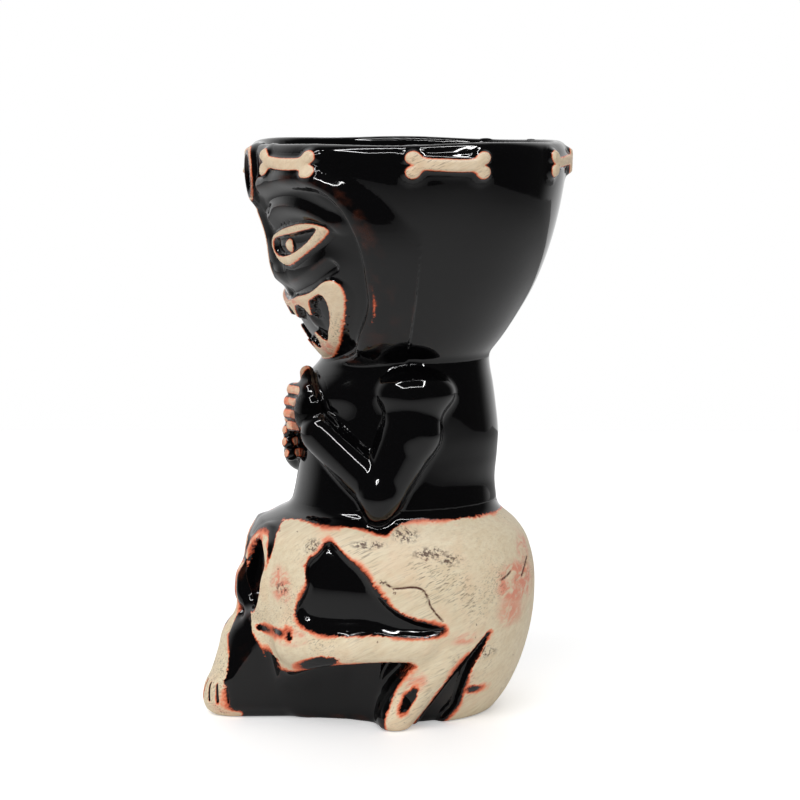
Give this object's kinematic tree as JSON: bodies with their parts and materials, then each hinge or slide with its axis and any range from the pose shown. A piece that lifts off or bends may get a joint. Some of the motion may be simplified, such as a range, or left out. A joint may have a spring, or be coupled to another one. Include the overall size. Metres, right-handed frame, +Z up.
{
  "type": "tiki mug",
  "caption": "Ceramic tiki mug: a fanged mask figure whose big head is the open bowl, hands on chest, seated on a hollow skull; black gloss glaze and bone-coloured relief.",
  "frame": {"origin": "on the flat foot, where the bowl's vertical axis meets it", "axes": "+Z up along the bowl's axis, -Y the way the mask and the skull face, +X the figure's left side"},
  "size_m": [0.0972, 0.1094, 0.1697],
  "materials": {
    "black_glaze": "thick high-gloss black glaze, thinning to reddish brown on sharp edges",
    "bone_slip": "brushed satin bone-coloured slip with pale red rubs, orange-brown fringes at the glaze and dark specks"
  },
  "bodies": {
    "root": {"head_bowl": "black_glaze", "torso": "black_glaze", "skull": "bone_slip", "forehead_boss": "bone_slip", "face_mask": "black_glaze", "left_eye": "bone_slip", "right_eye": "bone_slip", "nose": "black_glaze", "lips": "bone_slip", "fangs": "bone_slip", "left_arm": "black_glaze", "right_arm": "black_glaze", "left_hand": "bone_slip", "right_hand": "bone_slip", "upper_jaw": "bone_slip", "upper_teeth": "bone_slip", "left_socket_rim": "bone_slip", "right_socket_rim": "bone_slip", "nasal_bone": "black_glaze", "left_cheekbone": "bone_slip", "right_cheekbone": "bone_slip", "left_jaw_strut": "bone_slip", "right_jaw_strut": "bone_slip", "rim_bone_front_left": "bone_slip", "rim_bone_left": "bone_slip", "rim_bone_back_left": "bone_slip", "rim_bone_back_right": "bone_slip", "rim_bone_right": "bone_slip", "rim_bone_front_right": "bone_slip"}
  },
  "joints": []
}
